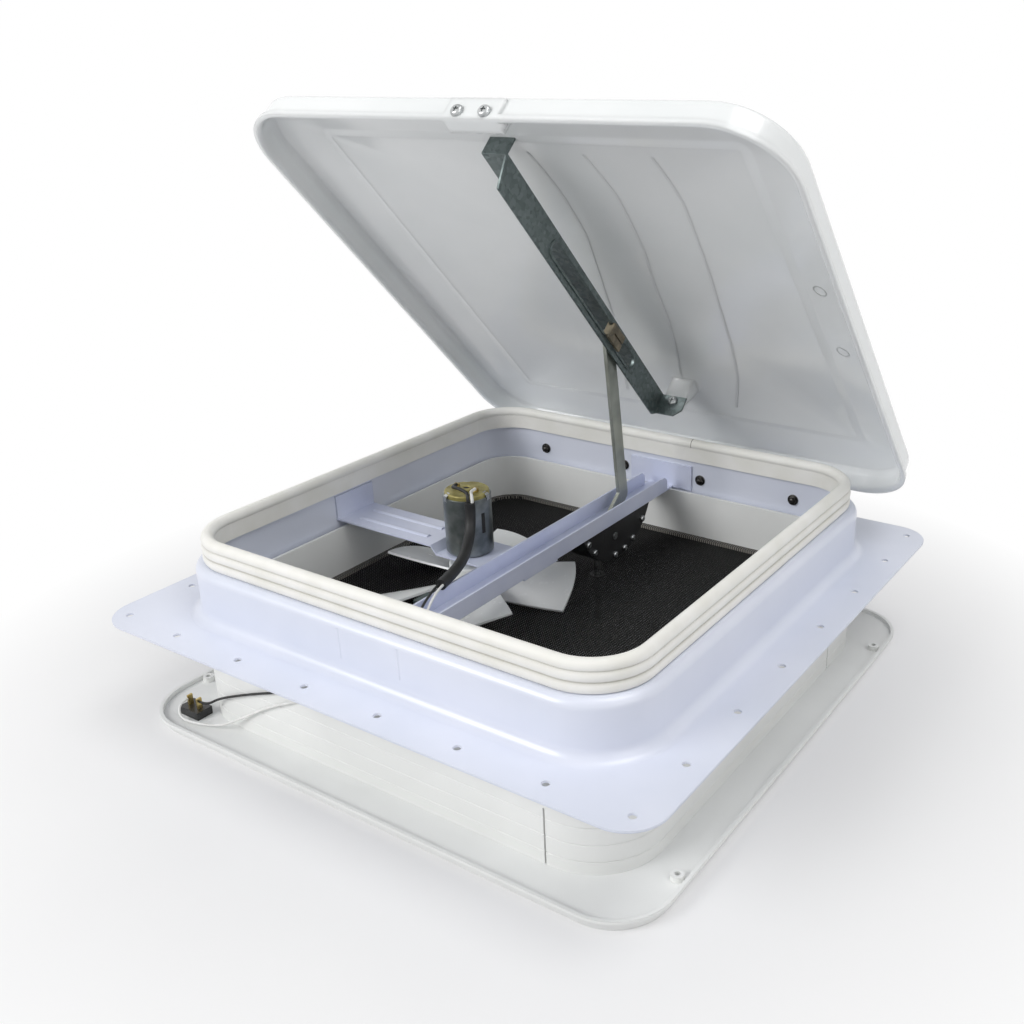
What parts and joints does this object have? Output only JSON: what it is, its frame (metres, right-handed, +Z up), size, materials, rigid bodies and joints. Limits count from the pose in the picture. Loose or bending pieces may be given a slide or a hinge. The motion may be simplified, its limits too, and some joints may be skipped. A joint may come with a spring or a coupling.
{
  "type": "roof vent fan",
  "caption": "Square roof vent with a hinged lid held open by a cranked lift arm, a motor-driven fan on a bracket, an insect screen and an interior trim tray.",
  "frame": {"origin": "centre of the flange's underside plane", "axes": "+Z up out of the roof, +Y from the lid's front edge to its hinge, +X to the right seen from the front"},
  "size_m": [0.45, 0.4575, 0.4241],
  "materials": {
    "painted_sheet": "smooth cool white paint",
    "seal_rubber": "cream rubber",
    "motor_steel": "dull zinc plate",
    "end_cap": "olive bronze moulding",
    "terminal_brass": "tinned",
    "black_vinyl": "limp black vinyl",
    "white_vinyl": "limp white vinyl",
    "connector_green": "moulded",
    "fan_white": "moulded white",
    "bright_steel": "plated",
    "lid_plastic": "glossy white moulding",
    "galvanised": "dark galvanised",
    "hinge_steel": "painted",
    "black_bolt": "black oxide",
    "shoe_nylon": "dark nylon",
    "gear_black": "black moulding",
    "garnish_plastic": "white moulding",
    "knob_plastic": "white moulding",
    "screen_mesh": "black woven screen",
    "screen_edge": "grey woven hem",
    "switch_black": "moulded"
  },
  "bodies": {
    "base": {"roof_flange": "painted_sheet", "lid_seal": "seal_rubber", "crossbar": "painted_sheet", "motor_bracket": "painted_sheet", "motor_can": "motor_steel", "motor_end_cap": "end_cap", "motor_terminals": "terminal_brass", "motor_lead_sleeve": "black_vinyl", "motor_lead_black": "black_vinyl", "motor_lead_white": "white_vinyl", "lead_black": "black_vinyl", "lead_white": "white_vinyl", "lead_connector": "connector_green", "hinge_base_left": "hinge_steel", "hinge_base_right": "hinge_steel", "hinge_pins": "bright_steel", "hinge_bolts": "black_bolt", "gearbox_housing": "gear_black", "gearbox_cover": "gear_black", "gearbox_screws": "bright_steel", "interior_garnish": "garnish_plastic", "insect_screen": "screen_mesh", "screen_frame": "screen_edge", "switch_body": "switch_black", "switch_terminals": "terminal_brass"},
    "lid": {"lid": "lid_plastic", "lid_channel": "galvanised", "lid_front_screws": "bright_steel", "lid_foot_screw": "bright_steel", "hinge_leaf_left": "hinge_steel", "hinge_leaf_right": "hinge_steel", "hinge_rivets": "bright_steel"},
    "lift_arm": {"lift_arm": "galvanised", "worm_wheel": "bright_steel"},
    "shoe": {"slide_shoe": "shoe_nylon", "shoe_pin": "bright_steel"},
    "crank": {"crank_shaft": "bright_steel", "crank_knob": "knob_plastic"},
    "fan": {"fan": "fan_white", "motor_shaft": "bright_steel", "fan_clip": "bright_steel"},
    "rocker": {"switch_rocker": "switch_black"}
  },
  "joints": [
    {"name": "lid_hinge", "type": "hinge", "parent": "base", "child": "lid", "pos_m": [0, 0.2, 0.0184], "axis": [-1, 0, 0], "range_deg": [-46.5, 3.5]},
    {"name": "arm_swing", "type": "hinge", "parent": "base", "child": "lift_arm", "pos_m": [0, 0.082, 0.004], "axis": [-1, 0, 0], "range_deg": [-80.5, 6.1]},
    {"name": "shoe_turn", "type": "hinge", "parent": "lift_arm", "child": "shoe", "pos_m": [0, 0.09335, 0.1636], "axis": [-1, 0, 0], "range_deg": [-2.6, 34]},
    {"name": "crank_turn", "type": "hinge", "parent": "base", "child": "crank", "pos_m": [0.0052, 0.0654, 0], "axis": [0, 0, 1], "range_deg": [-1931, 146]},
    {"name": "fan_spin", "type": "hinge", "parent": "base", "child": "fan", "pos_m": [-0.055, -0.018, 0], "axis": [0, 0, 1], "continuous": true},
    {"name": "switch_rock", "type": "hinge", "parent": "base", "child": "rocker", "pos_m": [-0.177, -0.192, -0.0805], "axis": [0, 1, 0], "range_deg": [-6, 6]}
  ],
  "couplings": [
    {"joint": "arm_swing", "follows": "lid_hinge", "ratio": 1.73},
    {"joint": "shoe_turn", "follows": "lid_hinge", "ratio": -0.73},
    {"joint": "crank_turn", "follows": "lid_hinge", "ratio": 41.52}
  ]
}
